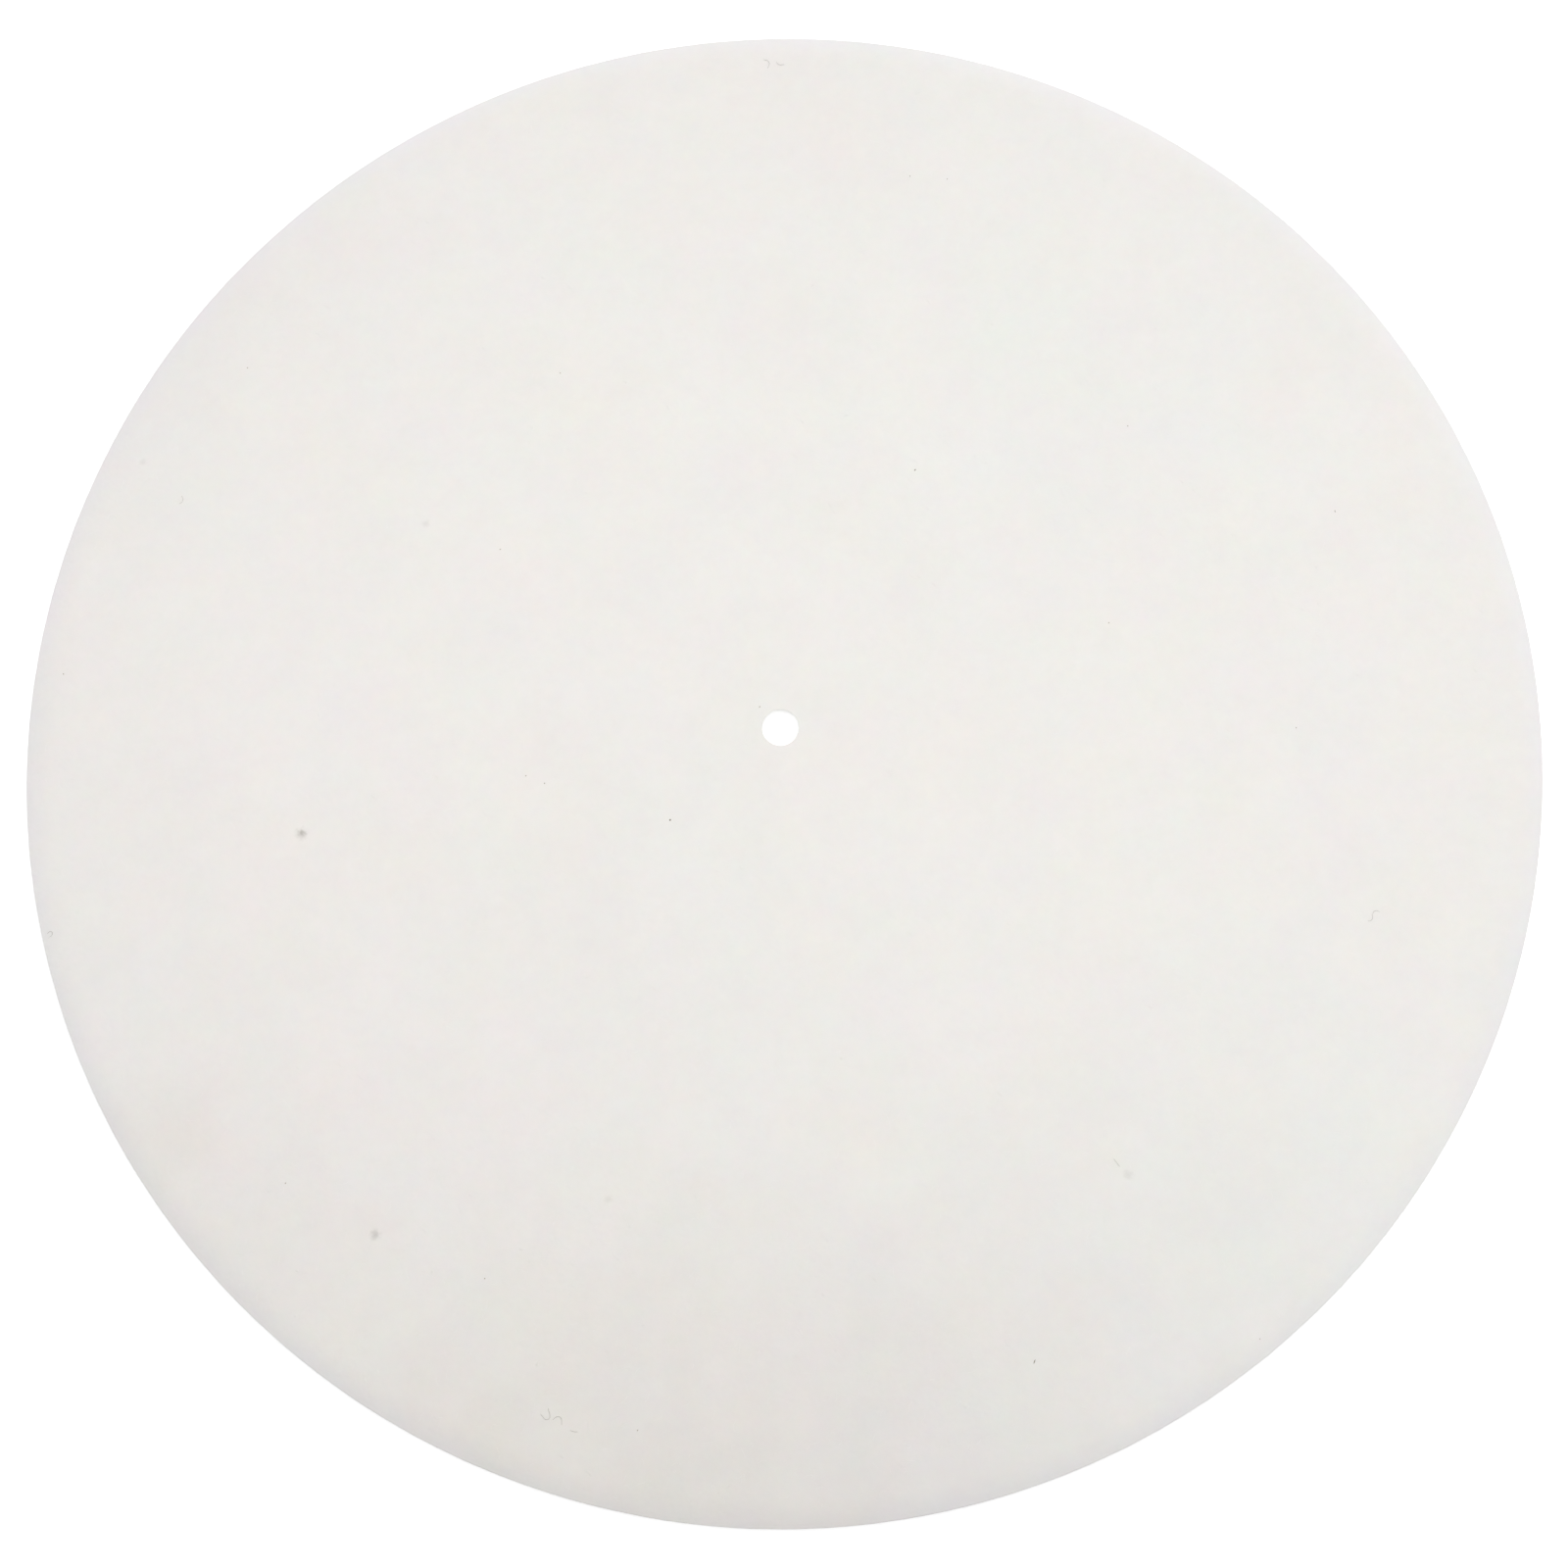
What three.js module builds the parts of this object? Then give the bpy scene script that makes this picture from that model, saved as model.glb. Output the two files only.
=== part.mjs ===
// Platter mat for a record player: one flat disc, die-cut from a sheet of pressed wool felt,
// with a hole in the middle for the player's spindle. A record lies on its top face.
//
// Sizes are in millimetres and +Z is up. The origin is the centre of the underside, which is
// the face that lies on the platter.

import * as THREE from "three";

// The felt disc.
const MAT_DIAMETER = 300;
const FELT_THICKNESS = 2.5;

// The hole drops over the spindle with this gap all round.
const SPINDLE_DIAMETER = 7.2;
const SPINDLE_GAP = 0.1;

// The cutting die squeezes the felt as it goes through, and the top face never quite recovers:
// it rolls off towards the rim in a long, shallow shoulder.
const SHOULDER_WIDTH = 5;
const SHOULDER_DROP = 0.8;

// The other cut edges keep small roundings.
const RIM_UNDERSIDE_ROUNDING = 0.4;
const HOLE_TOP_ROUNDING = 0.35;
const HOLE_UNDERSIDE_ROUNDING = 0.2;

// How finely the round shapes are drawn.
const TURN_SEGMENTS = 144;
const SHOULDER_STEPS = 8;
const ROUNDING_STEPS = 3;

const FELT_COLOUR = 0xf0eee9;
const FELT_ROUGHNESS = 0.95;

const QUARTER_TURN = Math.PI / 2;

// A rounding takes no more of the cut edge than this share, so that two of them never meet.
const LARGEST_SHARE = 0.49;

// A corner of the section where two straight sides meet, rounded off by a quarter of an ellipse
// that reaches across and up from the corner by those distances.
function corner(x, y, across, up, steps) {
  return { x, y, across, up: Math.min(up, LARGEST_SHARE * FELT_THICKNESS), steps };
}

// The rounded corner as section points, anticlockwise from the angle start.
function cornerPoints({ x, y, across, up, steps }, start) {
  const middle = start + QUARTER_TURN / 2;
  const centreX = x - across * Math.sign(Math.cos(middle));
  const centreY = y - up * Math.sign(Math.sin(middle));
  const end = start + QUARTER_TURN;
  return new THREE.EllipseCurve(centreX, centreY, across, up, start, end).getPoints(steps);
}

// The felt's cut section on one side of the axis: x is the distance from the axis and y the
// height. Its corners go anticlockwise from the underside of the rim.
function feltSection() {
  const rim = MAT_DIAMETER / 2;
  const hole = SPINDLE_DIAMETER / 2 + SPINDLE_GAP;
  const corners = [
    corner(rim, 0, RIM_UNDERSIDE_ROUNDING, RIM_UNDERSIDE_ROUNDING, ROUNDING_STEPS),
    corner(rim, FELT_THICKNESS, SHOULDER_WIDTH, SHOULDER_DROP, SHOULDER_STEPS),
    corner(hole, FELT_THICKNESS, HOLE_TOP_ROUNDING, HOLE_TOP_ROUNDING, ROUNDING_STEPS),
    corner(hole, 0, HOLE_UNDERSIDE_ROUNDING, HOLE_UNDERSIDE_ROUNDING, ROUNDING_STEPS),
  ];
  const points = corners.flatMap((at, turn) => cornerPoints(at, (turn - 1) * QUARTER_TURN));
  points.push(points[0].clone());
  return points;
}

// The disc is the section turned once round the axis. A lathe turns about Y, so the mesh is
// tipped up to have its axis along Z.
function feltMat() {
  const felt = new THREE.MeshStandardMaterial({
    color: FELT_COLOUR,
    roughness: FELT_ROUGHNESS,
    metalness: 0,
  });
  const mesh = new THREE.Mesh(new THREE.LatheGeometry(feltSection(), TURN_SEGMENTS), felt);
  mesh.name = "felt_mat";
  mesh.rotation.x = QUARTER_TURN;
  return mesh;
}

const platterMat = new THREE.Group();
platterMat.name = "platter_mat";
platterMat.add(feltMat());

export default platterMat;
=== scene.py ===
import math
import random

import bmesh
import bpy
from mathutils import Euler, Matrix, Vector, noise


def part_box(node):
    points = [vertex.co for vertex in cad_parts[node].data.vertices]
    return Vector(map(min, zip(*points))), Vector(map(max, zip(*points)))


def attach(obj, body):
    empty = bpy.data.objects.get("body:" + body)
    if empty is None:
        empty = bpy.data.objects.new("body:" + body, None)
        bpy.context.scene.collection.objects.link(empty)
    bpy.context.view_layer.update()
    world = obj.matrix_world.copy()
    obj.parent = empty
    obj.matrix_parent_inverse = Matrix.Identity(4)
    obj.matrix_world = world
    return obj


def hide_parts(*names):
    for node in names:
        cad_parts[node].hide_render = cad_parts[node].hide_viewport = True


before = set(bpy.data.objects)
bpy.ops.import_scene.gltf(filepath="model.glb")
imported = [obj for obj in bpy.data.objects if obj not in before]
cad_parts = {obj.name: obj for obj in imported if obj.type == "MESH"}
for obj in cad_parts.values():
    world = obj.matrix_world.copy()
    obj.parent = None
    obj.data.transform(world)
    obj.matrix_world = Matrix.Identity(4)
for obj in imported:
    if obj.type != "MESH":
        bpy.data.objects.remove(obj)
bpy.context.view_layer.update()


# The felt disc.
# The real piece is one flat round mat of pressed wool felt. A steel-rule die cuts the rim and
# the spindle hole in one stroke, and squeezes the top face down in a long shoulder at the rim.

MM = 0.001

felt_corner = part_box("felt_mat")[1]
THICKNESS = felt_corner.z
RIM = felt_corner.x
PUNCH = min(Vector(v.co.xy).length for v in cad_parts["felt_mat"].data.vertices)

SHOULDER_WIDTH = 5.5 * MM
SHOULDER_DROP = 0.8 * MM
RIM_TOP_ROUNDING = 0.22 * MM
RIM_UNDERSIDE_ROUNDING = 0.4 * MM
HOLE_TOP_ROUNDING = 0.05 * MM
HOLE_UNDERSIDE_ROUNDING = 0.2 * MM

# The squeezed felt springs back after the cut: the hole's top edge closes in on the punch's size
# by this much all round, and the hole is wider again at its lower edge.
HOLE_SPRING = 0.08 * MM
HOLE_FLARE = 0.55 * MM
HOLE = PUNCH - HOLE_SPRING

# The die's edge wanders by this much round the rim and round the hole. Each part of the wander
# has how many swings it makes, its strength and the place in the noise that it starts from.
RIM_WANDER = 0.1 * MM
HOLE_WANDER = 0.04 * MM
WANDER_PARTS = ((3, 0.6, 4.5), (40, 0.4, 9.1))

# The rim's wander sets in from this share of the rim's radius, and the hole's wander reaches out
# to this many times the hole's radius.
RIM_WANDER_FROM = 0.93
HOLE_WANDER_TO = 3

# The felt's slight unevenness on the top face, as pairs of how far apart the hollows lie and how
# deep they go.
HOLLOWS = ((34 * MM, 0.07 * MM), (9 * MM, 0.025 * MM), (3.2 * MM, 0.012 * MM))
HOLLOW_LAYERS_APART = 7.3

# How fast the hollows die away below the top face, as a power of the height.
HOLLOW_FADE = 4

# How far apart the mesh's rings lie on the top face. The first one lies close beside the hole's
# rounding, so that the rounding's shading ends there.
RING_STEP = 1.25 * MM
HOLE_RING_STEP = 0.05 * MM

# How many points the first ring has. The number doubles at each of these radii, so that the
# points stay about a millimetre apart.
FIRST_RING_POINTS = 120
DOUBLING_RADII = (25 * MM, 50 * MM, 100 * MM)
UNDERSIDE_RADII = (140 * MM, 96 * MM, 48 * MM, 24 * MM)
SHOULDER_STEP = 0.5 * MM
ROUNDING_STEPS = 3
WALL_STEPS = 3


def smooth(t):
    """A soft step from 0 to 1 as t goes from 0 to 1."""
    t = min(1.0, max(0.0, t))
    return t * t * (3 - 2 * t)


def wander(x, y):
    """How far the die's cut lies outside its true circle at a point on it."""
    angle = math.atan2(y, x)
    total = 0
    for swings, strength, start in WANDER_PARTS:
        at = Vector((math.cos(angle) * swings, math.sin(angle) * swings, start))
        total += strength * noise.noise(at)
    return total


def hollow(x, y):
    """How deep the felt's uneven top face lies below its highest level at a point."""
    depth = 0
    for layer, (apart, deep) in enumerate(HOLLOWS):
        at = Vector((x / apart, y / apart, HOLLOW_LAYERS_APART * layer))
        depth += deep * (0.5 + 0.5 * noise.noise(at))
    return depth


def shoulder_fall(radius):
    """How far the shoulder has come down below the flat face at a radius."""
    past = max(0.0, (radius - (RIM - SHOULDER_WIDTH)) / SHOULDER_WIDTH)
    return SHOULDER_DROP * past**2


def face_height(x, y):
    """The height of the top face, its shoulder and hollows with it, at a point."""
    return THICKNESS - shoulder_fall(math.hypot(x, y)) - hollow(x, y)


def rounding(radius, height, across, up, steps, start):
    """Section points of a rounded corner, clockwise round its centre from the angle start."""
    points = []
    for step in range(steps + 1):
        angle = start - math.pi / 2 * step / steps
        points.append((radius + across * math.cos(angle), height + up * math.sin(angle)))
    return points


def between(start, end, step):
    """Numbers between start and end, with neither of them, about one step apart."""
    parts = max(1, round(abs(end - start) / step))
    return [start + (end - start) * k / parts for k in range(1, parts)]


hole_top = THICKNESS - HOLE_TOP_ROUNDING
shoulder_start = RIM - SHOULDER_WIDTH
shoulder_end = RIM - RIM_TOP_ROUNDING
rim_top = THICKNESS - shoulder_fall(shoulder_end) - RIM_TOP_ROUNDING


def hole_wall(height):
    """How far the hole's wall lies from the axis at a height."""
    return HOLE + HOLE_FLARE * (1 - height / hole_top)


def rim_wall(height):
    """How far the rim's wall lies from the axis at a height, with its rounding below."""
    below = max(0.0, RIM_UNDERSIDE_ROUNDING - height)
    return RIM - RIM_UNDERSIDE_ROUNDING + math.sqrt(RIM_UNDERSIDE_ROUNDING**2 - below**2)


def felt_section():
    """The cut section as (radius, height): up the hole, out over the face, down and back."""
    section = rounding(
        HOLE + HOLE_FLARE + HOLE_UNDERSIDE_ROUNDING,
        HOLE_UNDERSIDE_ROUNDING,
        HOLE_UNDERSIDE_ROUNDING,
        HOLE_UNDERSIDE_ROUNDING,
        ROUNDING_STEPS,
        -math.pi / 2,
    )
    wall_step = (hole_top - HOLE_UNDERSIDE_ROUNDING) / WALL_STEPS
    for z in between(HOLE_UNDERSIDE_ROUNDING, hole_top, wall_step):
        section.append((hole_wall(z), z))
    section += rounding(
        HOLE + HOLE_TOP_ROUNDING,
        hole_top,
        HOLE_TOP_ROUNDING,
        HOLE_TOP_ROUNDING,
        ROUNDING_STEPS,
        math.pi,
    )
    first_ring = HOLE + HOLE_TOP_ROUNDING + HOLE_RING_STEP
    section.append((first_ring, THICKNESS))
    face = between(first_ring, shoulder_start, RING_STEP)
    section += [(radius, THICKNESS) for radius in face]
    fall = between(shoulder_start, shoulder_end, SHOULDER_STEP)
    section += [(radius, THICKNESS - shoulder_fall(radius)) for radius in fall]
    section += rounding(
        shoulder_end, rim_top, RIM_TOP_ROUNDING, RIM_TOP_ROUNDING, ROUNDING_STEPS, math.pi / 2
    )
    wall_step = (rim_top - RIM_UNDERSIDE_ROUNDING) / WALL_STEPS
    section += [(RIM, z) for z in between(rim_top, RIM_UNDERSIDE_ROUNDING, wall_step)]
    section += rounding(
        RIM - RIM_UNDERSIDE_ROUNDING,
        RIM_UNDERSIDE_ROUNDING,
        RIM_UNDERSIDE_ROUNDING,
        RIM_UNDERSIDE_ROUNDING,
        ROUNDING_STEPS,
        0,
    )
    section += [(radius, 0) for radius in UNDERSIDE_RADII]
    return section


def felt_point(radius, height, angle):
    """A point of the disc, with the cut's wander and the face's hollows in it."""
    x = math.cos(angle)
    y = math.sin(angle)
    near_rim = smooth((radius / RIM - RIM_WANDER_FROM) / (1 - RIM_WANDER_FROM))
    near_hole = smooth((HOLE_WANDER_TO - radius / HOLE) / (HOLE_WANDER_TO - 1))
    moved = radius + wander(x, y) * (RIM_WANDER * near_rim + HOLE_WANDER * near_hole)
    on_top = (height / THICKNESS) ** HOLLOW_FADE
    point = Vector((moved * x, moved * y, height))
    point.z -= on_top * hollow(point.x, point.y)
    return point


def stitched(first, second):
    """Faces between two rings of point numbers, one of which may have twice as many points."""
    few, many = (first, second) if len(first) <= len(second) else (second, first)
    count = len(few)
    if len(many) == count:
        return [
            (first[i], second[i], second[(i + 1) % count], first[(i + 1) % count])
            for i in range(count)
        ]
    faces = []
    for i in range(count):
        here = few[i]
        after = few[(i + 1) % count]
        near, middle, far = (many[(2 * i + k) % len(many)] for k in range(3))
        faces += [(here, near, middle), (here, middle, after), (after, middle, far)]
    if few is second:
        faces = [face[::-1] for face in faces]
    return faces


def smooth_mesh(name, points, faces):
    """A mesh of these points and faces, shaded smooth."""
    mesh = bpy.data.meshes.new(name)
    mesh.from_pydata(points, [], faces)
    mesh.polygons.foreach_set("use_smooth", [True] * len(mesh.polygons))
    mesh.update()
    return mesh


def felt_disc_mesh():
    """The whole disc as one closed mesh, ring by ring round its section."""
    points = []
    rings = []
    for radius, height in felt_section():
        count = FIRST_RING_POINTS * 2 ** sum(radius > limit for limit in DOUBLING_RADII)
        start = len(points)
        for k in range(count):
            points.append(felt_point(radius, height, 2 * math.pi * k / count))
        rings.append(list(range(start, len(points))))
    faces = []
    for first, second in zip(rings, rings[1:] + rings[:1]):
        faces += stitched(first, second)
    return smooth_mesh("felt_disc", points, faces)


def add_node(tree, kind, inputs=None, **settings):
    """A shader node, with its settings made and its inputs set to values or linked to outputs."""
    node = tree.nodes.new(kind)
    for name, value in settings.items():
        setattr(node, name, value)
    for key, value in (inputs or {}).items():
        if isinstance(value, bpy.types.NodeSocket):
            tree.links.new(value, node.inputs[key])
        else:
            node.inputs[key].default_value = value
    return node


def maths(tree, operation, *values, clamp=False):
    """The output of a Math node on these values."""
    node = add_node(
        tree, "ShaderNodeMath", dict(enumerate(values)), operation=operation, use_clamp=clamp
    )
    return node.outputs[0]


def soft_step(tree, value, start, end):
    """A mask that goes softly from 0 to 1 as value goes from start to end."""
    node = add_node(
        tree,
        "ShaderNodeMapRange",
        {"Value": value, "From Min": start, "From Max": end},
        interpolation_type="SMOOTHSTEP",
    )
    return node.outputs["Result"]


def mixed(tree, share, colour, other, blend="MIX"):
    """A colour mixed with another by a share from 0 to 1."""
    node = add_node(
        tree,
        "ShaderNodeMix",
        {0: share, 6: colour, 7: other},
        data_type="RGBA",
        blend_type=blend,
    )
    return node.outputs[2]


def new_group(name, inputs, outputs):
    """A shader node group with named inputs, each with its kind and value, and outputs."""
    tree = bpy.data.node_groups.new(name, "ShaderNodeTree")
    for socket, (kind, value) in inputs.items():
        made = tree.interface.new_socket(socket, in_out="INPUT", socket_type=kind)
        if value is not None:
            made.default_value = value
    for socket, kind in outputs.items():
        tree.interface.new_socket(socket, in_out="OUTPUT", socket_type=kind)
    entry = tree.nodes.new("NodeGroupInput")
    leave = tree.nodes.new("NodeGroupOutput")
    return tree, entry.outputs, leave.inputs


def use_group(tree, group, inputs):
    """A group placed in a material with its own values. Returns its outputs."""
    return add_node(tree, "ShaderNodeGroup", inputs, node_tree=group).outputs


def new_material(name):
    """A new material, with its node tree and its surface shader."""
    material = bpy.data.materials.new(name)
    material.use_nodes = True
    tree = material.node_tree
    return material, tree, tree.nodes["Principled BSDF"]


def in_millimetres(tree):
    """The place on the piece, in millimetres from the middle of the mat's underside."""
    place = add_node(tree, "ShaderNodeTexCoord").outputs["Object"]
    node = add_node(tree, "ShaderNodeVectorMath", {0: place, "Scale": 1 / MM}, operation="SCALE")
    return node.outputs["Vector"]


# The mottle's detail: how many times its blotches halve, and how strong the small ones stay.
MOTTLE_HALVINGS = 4
MOTTLE_ROUGHNESS = 0.95


def wool_mottle_group():
    """Blotches in the wool's shade and hue, from Size mm across down to small ones."""
    tree, given, out = new_group(
        "wool_mottle",
        {
            "Place": ("NodeSocketVector", None),
            "Size": ("NodeSocketFloat", 12),
            "Light": ("NodeSocketFloat", 0.05),
            "Tint": ("NodeSocketFloat", 0.05),
        },
        {"Shade": "NodeSocketColor"},
    )
    clouds = add_node(
        tree,
        "ShaderNodeTexNoise",
        {
            "Vector": given["Place"],
            "Scale": maths(tree, "DIVIDE", 1, given["Size"]),
            "Detail": MOTTLE_HALVINGS,
            "Roughness": MOTTLE_ROUGHNESS,
        },
    )
    parts = add_node(tree, "ShaderNodeSeparateColor", {0: clouds.outputs["Color"]}).outputs
    swings = [maths(tree, "SUBTRACT", part, 0.5) for part in parts]
    together = maths(tree, "ADD", maths(tree, "ADD", swings[0], swings[1]), swings[2])
    light = maths(tree, "MULTIPLY_ADD", together, given["Light"], 1)
    shades = [maths(tree, "MULTIPLY_ADD", swing, given["Tint"], light) for swing in swings]
    shade = add_node(tree, "ShaderNodeCombineColor", dict(enumerate(shades)))
    tree.links.new(shade.outputs[0], out["Shade"])
    return tree


# The matted fibres lie in lots at these angles, each from its own place in the noise. They bend
# over this many bends per mm, and their ridges are this sharp.
FIBRE_ANGLES = (12, 57, 101, 148)
FIBRE_LOTS_APART = (0, 17.3, 5.9)
FIBRE_BENDS = 0.4
RIDGE_SHARPNESS = 7


def matted_fibres_group():
    """Wool fibres matted together: thin ridges, Length mm long and Width mm apart."""
    tree, given, out = new_group(
        "matted_fibres",
        {
            "Place": ("NodeSocketVector", None),
            "Length": ("NodeSocketFloat", 3),
            "Width": ("NodeSocketFloat", 0.3),
            "Waviness": ("NodeSocketFloat", 0.5),
        },
        {"Height": "NodeSocketFloat"},
    )
    bends = add_node(
        tree, "ShaderNodeTexNoise", {"Vector": given["Place"], "Scale": FIBRE_BENDS, "Detail": 1}
    )
    swing = add_node(
        tree,
        "ShaderNodeVectorMath",
        {0: bends.outputs["Color"], 1: (0.5, 0.5, 0.5)},
        operation="SUBTRACT",
    )
    moved = add_node(
        tree,
        "ShaderNodeVectorMath",
        {0: swing.outputs[0], "Scale": given["Waviness"]},
        operation="SCALE",
    )
    place = add_node(
        tree,
        "ShaderNodeVectorMath",
        {0: given["Place"], 1: moved.outputs[0]},
        operation="ADD",
    )
    along = maths(tree, "DIVIDE", 1, given["Length"])
    across = maths(tree, "DIVIDE", 1, given["Width"])
    stretch = add_node(tree, "ShaderNodeCombineXYZ", {0: along, 1: across, 2: across})
    height = None
    for lot, angle in enumerate(FIBRE_ANGLES):
        turned = add_node(
            tree,
            "ShaderNodeVectorRotate",
            {"Vector": place.outputs[0], "Angle": math.radians(angle)},
            rotation_type="Z_AXIS",
        )
        start = [lot * apart for apart in FIBRE_LOTS_APART]
        stretched = add_node(
            tree,
            "ShaderNodeVectorMath",
            {0: turned.outputs[0], 1: stretch.outputs[0], 2: start},
            operation="MULTIPLY_ADD",
        )
        strands = add_node(
            tree,
            "ShaderNodeTexNoise",
            {"Vector": stretched.outputs[0], "Scale": 1, "Detail": 0},
        )
        off = maths(tree, "ABSOLUTE", maths(tree, "SUBTRACT", strands.outputs[0], 0.5))
        ridge = maths(tree, "MULTIPLY_ADD", off, -RIDGE_SHARPNESS, 1, clamp=True)
        height = ridge if height is None else maths(tree, "MAXIMUM", height, ridge)
    tree.links.new(height, out["Height"])
    return tree


def soft_spot_group():
    """A ragged soft mark round Centre: 1 in its middle, and 0 past Reach mm from it."""
    tree, given, out = new_group(
        "soft_spot",
        {
            "Place": ("NodeSocketVector", None),
            "Ragged": ("NodeSocketFloat", 0),
            "Centre": ("NodeSocketVector", None),
            "Reach": ("NodeSocketFloat", 1),
        },
        {"Mask": "NodeSocketFloat"},
    )
    apart = add_node(
        tree, "ShaderNodeVectorMath", {0: given["Place"], 1: given["Centre"]}, operation="DISTANCE"
    )
    share = maths(tree, "DIVIDE", apart.outputs["Value"], given["Reach"])
    share = maths(tree, "ADD", share, given["Ragged"])
    tree.links.new(soft_step(tree, share, 1, 0), out["Mask"])
    return tree


wool_mottle = wool_mottle_group()
matted_fibres = matted_fibres_group()
soft_spot = soft_spot_group()

CLEAN_WOOL = (0.872, 0.850, 0.8165, 1)
# Painted light: the lighter, neutral wool near the rim lifts the shade there.
RIM_WOOL_WITH_PAINTED_LIGHT = (0.872, 0.858, 0.851, 1)
# Painted light: the cut walls and loose fibres get a lighter wool, which stands for the light that
# comes through the felt and up from the white table.
CUT_WOOL_WITH_PAINTED_LIGHT = (0.94, 0.93, 0.91, 1)
ROSY_WOOL = (0.910, 0.850, 0.842, 1)
COOL_WOOL = (0.843, 0.853, 0.830, 1)
PALE_WOOL = (0.881, 0.911, 0.873, 1)
HEATHER_WOOL = (0.677, 0.547, 0.687, 1)
BROWN_SOIL_AND_SHADE = (0.658, 0.588, 0.509, 1)
GREY_SHADE_AND_SOIL = (0.656, 0.627, 0.618, 1)
SMUDGE_GREY = (0.30, 0.285, 0.25, 1)

# The colour turns neutral and a little lighter over this much of the face before the rim, in mm.
# This is painted light, which lifts the shade near the rim.
RIM_FADE = 5

# Soft smudges pressed into the wool: x and y of the middle and the reach, in mm, then how strong
# it is and its colour.
SMUDGES = (
    (-95.4, -14.0, 1.7, 0.28, SMUDGE_GREY),
    (-95.4, -13.8, 1.0, 0.46, SMUDGE_GREY),
    (-83.4, -91.5, 1.4, 0.36, SMUDGE_GREY),
    (-126.0, 65.3, 1.1, 0.11, SMUDGE_GREY),
    (-68.6, 47.6, 1.1, 0.13, SMUDGE_GREY),
    (59.2, -91.0, 1.4, 0.14, SMUDGE_GREY),
    (-39.1, -88.4, 1.2, 0.12, SMUDGE_GREY),
)

# The wool's own drift in hue over the sheet, as wide faint tones given the same way.
HUE_DRIFT = (
    (-105, 5, 90, 0.30, ROSY_WOOL),
    (-90, -70, 60, 0.40, ROSY_WOOL),
    (60, 70, 70, 0.30, COOL_WOOL),
    (95, -110, 70, 0.30, PALE_WOOL),
    (-147, 115, 90, 0.14, HEATHER_WOOL),
)

# Faint darkening at the front edge, two hands' breadths wide, and lesser touches beside them:
# partly brownish soiling, and partly painted shade where the light falls off towards the front.
SOILING_AND_PAINTED_SHADE = (
    (-43, -148, 90, 0.20, BROWN_SOIL_AND_SHADE),
    (29, -147, 88, 0.20, GREY_SHADE_AND_SOIL),
    (-116, -88, 43, 0.09, BROWN_SOIL_AND_SHADE),
    (83, -93, 53, 0.08, GREY_SHADE_AND_SOIL),
    (-121, -68, 13, 0.11, BROWN_SOIL_AND_SHADE),
    (-99, -81, 13, 0.04, BROWN_SOIL_AND_SHADE),
    (-84, -91, 13, 0.04, BROWN_SOIL_AND_SHADE),
    (-77, -121, 13, 0.09, BROWN_SOIL_AND_SHADE),
    (-64, -129, 13, 0.09, BROWN_SOIL_AND_SHADE),
    (-33, -140, 13, 0.07, GREY_SHADE_AND_SOIL),
    (-18, -142, 13, 0.10, GREY_SHADE_AND_SOIL),
    (1, -144, 13, 0.06, GREY_SHADE_AND_SOIL),
)

# How far the edges of the tones and marks swing in and out, as a share of their reach, and over
# how many mm.
SMUDGE_SWING = (0.9, 0.8)
TONE_SWING = (0.35, 12)

# Which way the felt faces, from -1 for straight down to 1 for straight up: the marks of use and
# the painted shade fade in between the first pair, and the cut walls' lighter colour, which is
# painted light, either way up, between the second pair.
MARKS_AND_SHADE_FACING = (-0.2, 0.2)
CUT_FACING = (0.6, 0.2)

FELT_ROUGHNESS = 0.95
FELT_SPECULAR = 0.5
FELT_SHEEN = 0.08
FELT_SHEEN_ROUGHNESS = 0.5

# How strongly the matted fibres show on the pressed faces, and how much more on the cut edges.
FACE_FIBRES = 0.012
CUT_FIBRES = 0.13
FIBRE_MIDDLE = 0.375

# The smallest lumps of the matted wool: how far apart they lie, in mm, and how high they are.
LUMPS_APART = 0.9
LUMP_HEIGHT = 0.025 * MM


def with_marks(tree, colour, place, marks, edge_swing):
    """The colour with soft marks on it, whose edges swing in and out."""
    swing, apart = edge_swing
    notches = add_node(
        tree, "ShaderNodeTexNoise", {"Vector": place, "Scale": 1 / apart, "Detail": 1}
    )
    ragged = maths(tree, "MULTIPLY_ADD", notches.outputs[0], swing, -swing / 2)
    for x, y, reach, strength, mark_colour in marks:
        spot = use_group(
            tree,
            soft_spot,
            {"Place": place, "Ragged": ragged, "Centre": (x, y, 0), "Reach": reach},
        )
        share = maths(tree, "MULTIPLY", spot["Mask"], strength)
        colour = mixed(tree, share, colour, mark_colour)
    return colour


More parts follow.
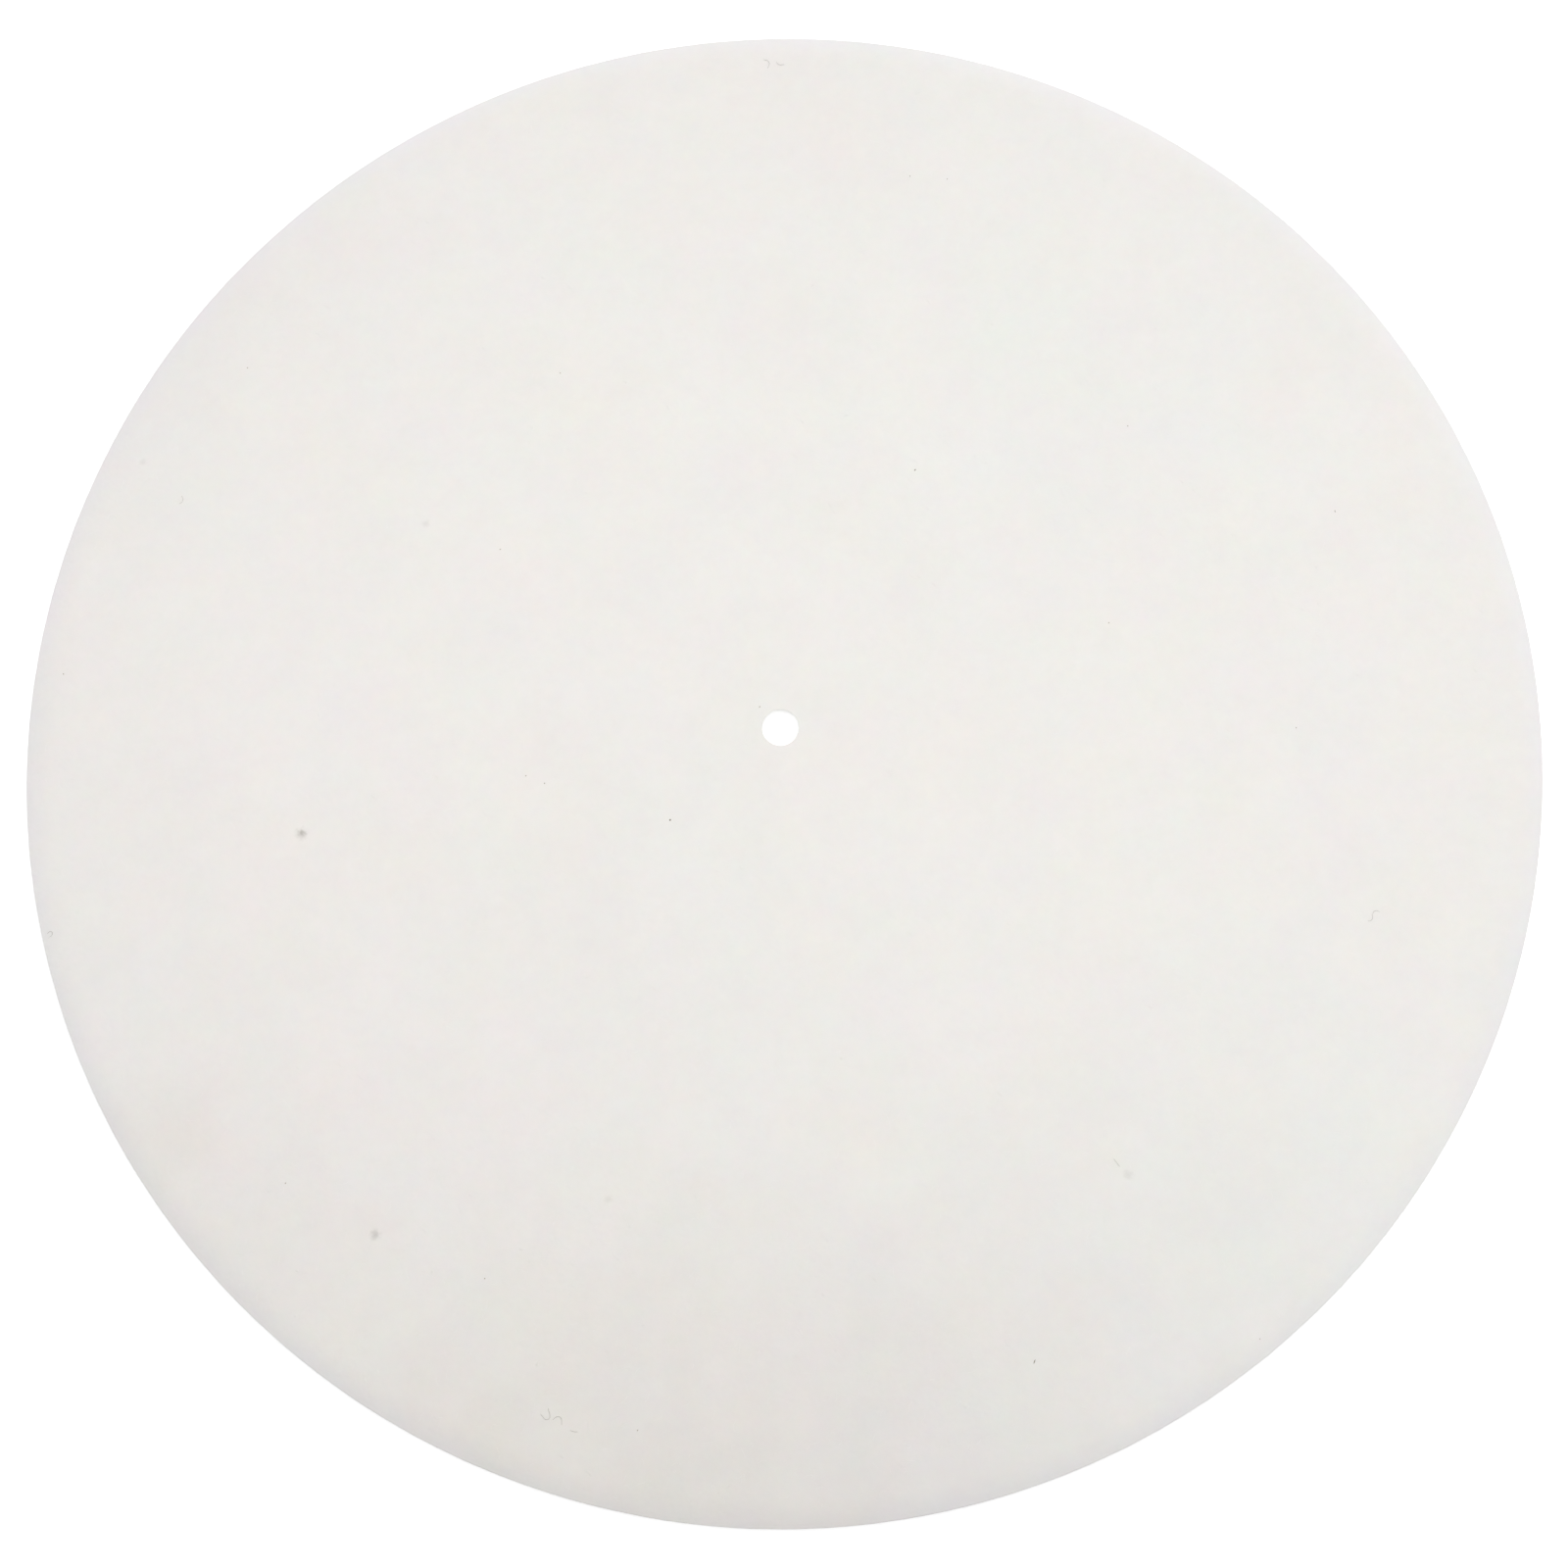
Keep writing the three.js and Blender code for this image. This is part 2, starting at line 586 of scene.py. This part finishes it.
def felt_material():
    """Off-white pressed wool, mottled and matted, with marks and painted shade on its top face."""
    material, tree, shader = new_material("pressed_wool_felt")
    place = in_millimetres(tree)
    flat = add_node(
        tree, "ShaderNodeVectorMath", {0: place, 1: (1, 1, 0)}, operation="MULTIPLY"
    ).outputs[0]

    radius = add_node(
        tree, "ShaderNodeVectorMath", {0: flat}, operation="LENGTH"
    ).outputs["Value"]
    near_rim = soft_step(tree, radius, RIM / MM - RIM_FADE, RIM / MM)
    colour = mixed(tree, near_rim, CLEAN_WOOL, RIM_WOOL_WITH_PAINTED_LIGHT)
    # The tones and marks include painted shade that darkens the front edge, besides real soiling.
    marked_and_shaded = with_marks(tree, colour, flat, HUE_DRIFT + SOILING_AND_PAINTED_SHADE, TONE_SWING)
    marked_and_shaded = with_marks(tree, marked_and_shaded, flat, SMUDGES, SMUDGE_SWING)

    facing = add_node(tree, "ShaderNodeTexCoord").outputs["Normal"]
    upward = add_node(tree, "ShaderNodeSeparateXYZ", {0: facing}).outputs["Z"]
    colour = mixed(tree, soft_step(tree, upward, *MARKS_AND_SHADE_FACING), colour, marked_and_shaded)
    # The cut walls' lighter colour is painted light.
    cut = soft_step(tree, maths(tree, "ABSOLUTE", upward), *CUT_FACING)
    colour = mixed(tree, cut, colour, CUT_WOOL_WITH_PAINTED_LIGHT)

    mottle = use_group(
        tree, wool_mottle, {"Place": place, "Size": 22, "Light": 0.02, "Tint": 0.1}
    )
    fine = use_group(
        tree, matted_fibres, {"Place": place, "Length": 2.6, "Width": 0.34, "Waviness": 1.2}
    )
    strength = maths(tree, "MULTIPLY_ADD", cut, CUT_FIBRES, FACE_FIBRES)
    above = maths(tree, "SUBTRACT", fine["Height"], FIBRE_MIDDLE)
    light = maths(tree, "MULTIPLY_ADD", above, strength, 1)
    shade = add_node(tree, "ShaderNodeCombineColor", {0: light, 1: light, 2: light})
    colour = mixed(tree, 1, colour, mottle["Shade"], "MULTIPLY")
    colour = mixed(tree, 1, colour, shade.outputs[0], "MULTIPLY")
    tree.links.new(colour, shader.inputs["Base Color"])

    lumps = add_node(
        tree, "ShaderNodeTexNoise", {"Vector": place, "Scale": 1 / LUMPS_APART, "Detail": 0}
    )
    bump = add_node(
        tree,
        "ShaderNodeBump",
        {"Height": lumps.outputs[0], "Strength": 1, "Distance": LUMP_HEIGHT},
    )
    tree.links.new(bump.outputs[0], shader.inputs["Normal"])

    shader.inputs["Roughness"].default_value = FELT_ROUGHNESS
    shader.inputs["Specular IOR Level"].default_value = FELT_SPECULAR
    shader.inputs["Sheen Weight"].default_value = FELT_SHEEN
    shader.inputs["Sheen Roughness"].default_value = FELT_SHEEN_ROUGHNESS
    return material


def add_piece(name, mesh, material):
    """A piece of the object, in place, which moves with the object's one body."""
    piece = bpy.data.objects.new(name, mesh)
    bpy.context.scene.collection.objects.link(piece)
    piece.data.materials.append(material)
    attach(piece, "root")
    return piece


felt_disc = add_piece("felt_disc", felt_disc_mesh(), felt_material())
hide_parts("felt_mat")


# The fuzz on the cut edges.
# The die shears the wool, and fine fibre ends stand out from the cut, round the rim and inside
# the spindle hole. They are the felt's own wool, so they only need the felt's colour.

RIM_FUZZ_COUNT = 6000
HOLE_FUZZ_COUNT = 170
RIM_FUZZ_LOW = 0.1 * MM
HOLE_FUZZ_LOW = 0.3 * MM
HOLE_FUZZ_TOP = 2.33 * MM
RIM_FUZZ_LENGTHS = (0.12 * MM, 0.42 * MM)
HOLE_FUZZ_LENGTHS = (0.15 * MM, 0.45 * MM)
LONG_FUZZ_LENGTH = 0.9 * MM
LONG_FUZZ_SHARE = 0.02
FUZZ_RADIUS = 0.011 * MM
FUZZ_ROOT = 0.06 * MM
FUZZ_POINTS = 5
FIBRE_SIDES = 3

# How much single fibres differ in thickness, and how near the table they may come.
FIBRE_THICKNESSES = (0.7, 1.3)
FUZZ_LOWEST = 0.03 * MM

# How far the fuzz strays from pointing straight out, and how far it bends, sideways and up.
FUZZ_STRAY = (0.7, 0.35)
FUZZ_BEND = (0.8, 0.3)


def fibre_mesh(name, fibres):
    """One mesh of many fibres: thin tubes along their points, drawn out at both ends."""
    points = []
    faces = []
    for line, radius in fibres:
        first = len(points)
        points.append(line[0])
        for before, here, after in zip(line, line[1:], line[2:]):
            run = (after - before).normalized()
            side = run.orthogonal().normalized()
            for k in range(FIBRE_SIDES):
                turn = Matrix.Rotation(2 * math.pi * k / FIBRE_SIDES, 3, run)
                points.append(here + turn @ side * radius)
        last = len(points)
        points.append(line[-1])
        rings = len(line) - 2
        for k in range(FIBRE_SIDES):
            after = (k + 1) % FIBRE_SIDES
            faces.append((first, first + 1 + after, first + 1 + k))
            for ring in range(rings - 1):
                at = first + 1 + ring * FIBRE_SIDES
                above = at + FIBRE_SIDES
                faces.append((at + k, at + after, above + after, above + k))
            at = last - FIBRE_SIDES
            faces.append((at + k, at + after, last))
    return smooth_mesh(name, points, faces)


def edge_fuzz(count, lengths, wall, low, top, outward, wander_size, draw):
    """Fibre ends that stand out from a cut edge's wall, outward (1) or into the hole (-1)."""
    fibres = []
    for _ in range(count):
        angle = draw.uniform(0, 2 * math.pi)
        out = Vector((math.cos(angle), math.sin(angle), 0))
        across = Vector((-out.y, out.x, 0))
        height = draw.uniform(low, top)
        edge = wall(height) + wander(out.x, out.y) * wander_size
        root = out * (edge - outward * FUZZ_ROOT)
        root.z = height
        length = draw.uniform(*lengths)
        if draw.random() < LONG_FUZZ_SHARE:
            length = LONG_FUZZ_LENGTH
        heading = out * outward + across * draw.gauss(0, FUZZ_STRAY[0])
        heading.z = draw.gauss(0, FUZZ_STRAY[1])
        bend = across * draw.gauss(0, FUZZ_BEND[0])
        bend.z = draw.gauss(0, FUZZ_BEND[1])
        line = []
        for k in range(FUZZ_POINTS):
            t = k / (FUZZ_POINTS - 1)
            point = root + (heading.normalized() * t + bend * t * t / 2) * length
            point.z = max(FUZZ_LOWEST, point.z)
            line.append(point)
        fibres.append((line, FUZZ_RADIUS * draw.uniform(*FIBRE_THICKNESSES)))
    return fibres


def mottled_material(name, base, roughness, size, light, tint):
    """A dull colour in blotches up to size mm across, which vary in light and in tint."""
    material, tree, shader = new_material(name)
    mottle = use_group(
        tree,
        wool_mottle,
        {"Place": in_millimetres(tree), "Size": size, "Light": light, "Tint": tint},
    )
    colour = mixed(tree, 1, base, mottle["Shade"], "MULTIPLY")
    tree.links.new(colour, shader.inputs["Base Color"])
    shader.inputs["Roughness"].default_value = roughness
    return material


# The same wool in single fibres, which look lighter as light goes through them.
loose_wool = mottled_material(
    "loose_wool", CUT_WOOL_WITH_PAINTED_LIGHT, FELT_ROUGHNESS, size=3, light=0.05, tint=0.1
)

draw = random.Random(11)
fuzz = edge_fuzz(
    RIM_FUZZ_COUNT, RIM_FUZZ_LENGTHS, rim_wall, RIM_FUZZ_LOW, rim_top, 1, RIM_WANDER, draw
)
add_piece("rim_fuzz", fibre_mesh("rim_fuzz", fuzz), loose_wool)
fuzz = edge_fuzz(
    HOLE_FUZZ_COUNT,
    HOLE_FUZZ_LENGTHS,
    hole_wall,
    HOLE_FUZZ_LOW,
    HOLE_FUZZ_TOP,
    -1,
    HOLE_WANDER,
    draw,
)
add_piece("hole_fuzz", fibre_mesh("hole_fuzz", fuzz), loose_wool)


# The nap on the face.
# Pressing leaves single wool fibres lying loose on the top face, each held down at its ends by
# the matted wool below it.

NAP_COUNT = 4200
NAP_LENGTHS = (0.9 * MM, 3.2 * MM)
NAP_RADIUS = 0.013 * MM
NAP_LIFTS = (0.01 * MM, 0.05 * MM)
NAP_BEND = 1.3
NAP_WAVE = 0.5
NAP_POINTS = 7
NAP_EDGE_GAP = 1.5 * MM

# How deep the ends of a lying fibre go into the face.
FIBRE_HOLD = 0.01 * MM


def lying_fibre(x, y, heading, length, bend, wave, lift, count):
    """A fibre that lies on the face: it curves by bend over its length, with a slight wave."""
    flat = [Vector((0, 0))]
    for k in range(1, count):
        t = k / (count - 1)
        turned = heading + bend * t + wave * math.sin(2 * math.pi * t)
        flat.append(flat[-1] + Vector((math.cos(turned), math.sin(turned))) * length / (count - 1))
    middle = sum(flat, Vector((0, 0))) / count
    line = []
    for k, point in enumerate(flat):
        t = k / (count - 1)
        at = point - middle + Vector((x, y))
        raised = lift * math.sin(math.pi * t) - FIBRE_HOLD
        line.append(Vector((at.x, at.y, face_height(at.x, at.y) + raised)))
    return line


def nap_fibres(draw):
    """Loose wool fibres all over the face."""
    fibres = []
    while len(fibres) < NAP_COUNT:
        distance = RIM * math.sqrt(draw.random())
        angle = draw.uniform(0, 2 * math.pi)
        heading = draw.uniform(0, 2 * math.pi)
        length = draw.uniform(*NAP_LENGTHS)
        bend = draw.gauss(0, NAP_BEND)
        wave = draw.gauss(0, NAP_WAVE)
        lift = draw.uniform(*NAP_LIFTS)
        near = distance < HOLE + length / 2 + NAP_EDGE_GAP
        if near or distance > RIM - length / 2 - NAP_EDGE_GAP:
            continue
        x = distance * math.cos(angle)
        y = distance * math.sin(angle)
        line = lying_fibre(x, y, heading, length, bend, wave, lift, NAP_POINTS)
        fibres.append((line, NAP_RADIUS * draw.uniform(*FIBRE_THICKNESSES)))
    return fibres


add_piece("nap", fibre_mesh("nap", nap_fibres(random.Random(23))), loose_wool)


# The stray fibres.
# A few coarse grey-brown hairs were carded into the wool with the fleece. They lie curled on the
# face, held by the nap.

# Where each one lies and how it runs: x and y of its middle, heading, length, bend and wave, in mm
# and radians.
STRAYS = (
    (111.2, -46.4, -0.35, 2.0, 2.5, 0.0),
    (112.2, -45.2, 1.6, 1.9, -2.6, 0.0),
    (-52.6, -126.4, -0.5, 4.2, 1.9, -0.9),
    (-50.4, -127.3, 0.6, 3.2, -2.2, 0.5),
    (-47.7, -129.6, -0.9, 1.5, 1.2, 0.2),
    (7.6, 143.6, -0.4, 3.0, -1.7, 0.4),
    (10.2, 143.2, -1.0, 2.2, 1.1, -0.3),
    (-145.2, -30.0, 0.4, 3.4, -2.8, 0.9),
    (-118.1, 56.5, -1.0, 2.2, -1.6, 0.3),
    (57.4, -88.7, -1.3, 1.9, 0.6, 0.2),
)
STRAY_RADIUS = 0.03 * MM
STRAY_LIFT = 0.09 * MM
STRAY_POINTS = 22
HAIR_BROWN = (0.40, 0.37, 0.33, 1)
HAIR_ROUGHNESS = 0.55


# Each hair's colour is uneven along its length, and it has a slight gloss.
hair = mottled_material("stray_hair", HAIR_BROWN, HAIR_ROUGHNESS, size=0.7, light=0.8, tint=0.2)

strays = []
for x, y, heading, length, bend, wave in STRAYS:
    line = lying_fibre(
        x * MM, y * MM, heading, length * MM, bend, wave, STRAY_LIFT, STRAY_POINTS
    )
    strays.append((line, STRAY_RADIUS))
add_piece("stray_hairs", fibre_mesh("stray_hairs", strays), hair)


# The seed flecks.
# Bits of seed and husk from the fleece are pressed into the face with the wool. Each is a small
# brown grain that shows only its top.

# Where each fleck lies and its size: x, y, heading, length and width, in mm and radians.
DARK_FLECKS = (
    (31.1, 51.1, 0.5, 0.36, 0.28),
    (-22.9, -16.8, 1.2, 0.42, 0.34),
    (35.5, 115.4, 1.6, 0.28, 0.17),
    (38.4, -123.5, 1.1, 0.90, 0.20),
    (114.6, 35.7, 1.6, 0.58, 0.13),
)
PALE_FLECKS = (
    (-50.8, -5.8, 0.2, 0.35, 0.25),
    (-142.3, 22.0, 1.9, 0.35, 0.22),
    (66.9, 16.2, 0.9, 0.30, 0.24),
    (43.2, 114.1, 0.3, 0.30, 0.20),
    (-47.2, -7.6, 1.4, 0.30, 0.22),
    (-53.8, 41.0, 0.4, 0.32, 0.24),
    (-39.8, 77.7, 2.4, 0.30, 0.20),
    (-104.2, 84.0, 0.8, 0.32, 0.24),
    (101.4, -7.9, 1.7, 0.30, 0.22),
    (80.5, -122.5, 0.1, 0.36, 0.22),
    (-63.0, -101.1, 2.0, 0.30, 0.24),
    (-35.9, -130.3, 0.7, 0.34, 0.22),
    (-100.1, -80.8, 1.2, 0.32, 0.24),
    (75.0, 57.0, 2.7, 0.30, 0.22),
    (-3.8, 4.5, 0.6, 0.34, 0.26),
)

# A grain's height as a share of its width, how much of it shows, and how uneven its sides are.
FLECK_HEIGHT_SHARE = 0.45
FLECK_SHOWS = 0.3
FLECK_UNEVENNESS = 0.35
FLECK_LUMPS = 3
DARK_HUSK = (0.20, 0.16, 0.115, 1)
PALE_HUSK = (0.48, 0.43, 0.35, 1)
HUSK_ROUGHNESS = 0.7


def fleck_mesh(name, flecks, draw):
    """Small grains with uneven sides, sunk in the face so that only their tops show."""
    whole = bmesh.new()
    for x, y, heading, length, width in flecks:
        x *= MM
        y *= MM
        high = width * FLECK_HEIGHT_SHARE
        grain = bmesh.ops.create_icosphere(whole, subdivisions=3, radius=0.5)["verts"]
        seed = Vector([draw.uniform(0, 50) for _ in range(3)])
        turn = Euler((0, 0, heading)).to_matrix()
        shape = Matrix.Diagonal((length * MM, width * MM, high * MM))
        middle = Vector((x, y, face_height(x, y) - (0.5 - FLECK_SHOWS) * high * MM))
        for point in grain:
            uneven = 1 + FLECK_UNEVENNESS * noise.noise(point.co * FLECK_LUMPS + seed)
            point.co = middle + turn @ (shape @ (point.co * uneven))
    for face in whole.faces:
        face.smooth = True
    mesh = bpy.data.meshes.new(name)
    whole.to_mesh(mesh)
    whole.free()
    return mesh


draw = random.Random(5)
for shade, flecks, husk in (("dark", DARK_FLECKS, DARK_HUSK), ("pale", PALE_FLECKS, PALE_HUSK)):
    name = shade + "_seed_flecks"
    mesh = fleck_mesh(name, flecks, draw)
    dry = mottled_material(shade + "_husk", husk, HUSK_ROUGHNESS, size=0.15, light=1.1, tint=0.3)
    add_piece(name, mesh, dry)


# The floor and the light.
# The mat lies on a plain white table in soft studio light: a broad lamp overhead, a softer one
# from the right and behind, and light from all round.

FLOOR_SIZE = 6
FLOOR_WHITE = 0.9
GLOW_NEAR = 0.4
GLOW_START = 0.22
GLOW_FULL = 0.7
ALL_ROUND_LIGHT = 0.4
OVERHEAD_PLACE = Vector((0.025, -0.024, 0.4))
OVERHEAD_LENGTH = 0.9
OVERHEAD_WIDTH = 0.25
OVERHEAD_TURN = -19.1
OVERHEAD_WATTS = 0.988
KEY_DISTANCE = 1.2
KEY_AZIMUTH = 62
KEY_ZENITH = 45
KEY_SIZE = 0.5
KEY_WATTS = 4.9


def seen_directly(tree):
    """1 for what the camera sees, itself or by a reflection or through glass, and 0 for light."""
    path = add_node(tree, "ShaderNodeLightPath").outputs
    seen = maths(tree, "MAXIMUM", path["Is Camera Ray"], path["Is Glossy Ray"])
    return maths(tree, "MAXIMUM", seen, path["Is Transmission Ray"])


def floor_material():
    """White table that glows only for the camera, more with distance, so it ends in white."""
    material, tree, shader = new_material("white_table")
    place = add_node(tree, "ShaderNodeTexCoord").outputs["Object"]
    far = add_node(tree, "ShaderNodeVectorMath", {0: place}, operation="LENGTH")
    rise = soft_step(tree, far.outputs["Value"], GLOW_START, GLOW_FULL)
    glow = maths(tree, "MULTIPLY_ADD", rise, 1 - GLOW_NEAR, GLOW_NEAR)
    tree.links.new(
        maths(tree, "MULTIPLY", glow, seen_directly(tree)), shader.inputs["Emission Strength"]
    )
    shader.inputs["Base Color"].default_value = (FLOOR_WHITE, FLOOR_WHITE, FLOOR_WHITE, 1)
    shader.inputs["Emission Color"].default_value = (1, 1, 1, 1)
    shader.inputs["Roughness"].default_value = 1
    shader.inputs["Specular IOR Level"].default_value = 0
    return material


def add_floor():
    """A wide level table top under the mat."""
    half = FLOOR_SIZE / 2
    corners = [(-half, -half, 0), (half, -half, 0), (half, half, 0), (-half, half, 0)]
    mesh = bpy.data.meshes.new("floor")
    mesh.from_pydata(corners, [], [(0, 1, 2, 3)])
    mesh.materials.append(floor_material())
    floor = bpy.data.objects.new("floor", mesh)
    bpy.context.scene.collection.objects.link(floor)


def add_lamp(name, place, aim, length, width, watts):
    """A soft lamp with a flat square or long face, turned by aim from looking straight down."""
    data = bpy.data.lights.new(name, "AREA")
    data.shape = "RECTANGLE"
    data.size = length
    data.size_y = width
    data.energy = watts
    lamp = bpy.data.objects.new(name, data)
    lamp.rotation_euler = aim
    lamp.location = place
    lamp.visible_camera = False
    bpy.context.scene.collection.objects.link(lamp)


def add_world():
    """Even light from all round. The camera sees it as plain white."""
    world = bpy.data.worlds.new("studio")
    world.use_nodes = True
    bpy.context.scene.world = world
    tree = world.node_tree
    strength = maths(
        tree, "MULTIPLY_ADD", seen_directly(tree), 1 - ALL_ROUND_LIGHT, ALL_ROUND_LIGHT
    )
    background = tree.nodes["Background"]
    background.inputs["Color"].default_value = (1, 1, 1, 1)
    tree.links.new(strength, background.inputs["Strength"])


add_floor()
add_world()
overhead_aim = Euler((0, 0, math.radians(OVERHEAD_TURN)))
add_lamp(
    "overhead_lamp",
    OVERHEAD_PLACE,
    overhead_aim,
    OVERHEAD_LENGTH,
    OVERHEAD_WIDTH,
    OVERHEAD_WATTS,
)
key_aim = Euler((0, math.radians(KEY_ZENITH), math.radians(KEY_AZIMUTH)))
key_way = key_aim.to_matrix() @ Vector((0, 0, 1))
add_lamp("key_lamp", key_way * KEY_DISTANCE, key_aim, KEY_SIZE, KEY_SIZE, KEY_WATTS)
bpy.context.scene.view_settings.view_transform = "Standard"


# The camera.
# It looks almost straight down at the mat from close by, a little from the front, and is turned
# slightly, as the photograph's outline of the disc and of the hole shows.

CAMERA_TILT = 9.758
CAMERA_DISTANCE = 336.79 * MM
CAMERA_AIM = Vector((4.841 * MM, -11.756 * MM, THICKNESS))
CAMERA_ROLL = -4.348
CAMERA_LENS = 39.305
CAMERA_SHIFT = -0.01611

tilt = math.radians(CAMERA_TILT)
roll = math.radians(CAMERA_ROLL)
back = Vector((0, -math.sin(tilt), math.cos(tilt)))
level_right = Vector((1, 0, 0))
level_up = Vector((0, math.cos(tilt), math.sin(tilt)))
right = level_right * math.cos(roll) + level_up * math.sin(roll)
up = level_up * math.cos(roll) - level_right * math.sin(roll)
camera_data = bpy.data.cameras.new("camera")
camera_data.sensor_width = 36
camera_data.lens = CAMERA_LENS
camera_data.shift_x = CAMERA_SHIFT
camera = bpy.data.objects.new("camera", camera_data)
turned = Matrix((right, up, back)).transposed().to_4x4()
camera.matrix_world = Matrix.Translation(CAMERA_AIM + back * CAMERA_DISTANCE) @ turned
bpy.context.scene.collection.objects.link(camera)
bpy.context.scene.camera = camera
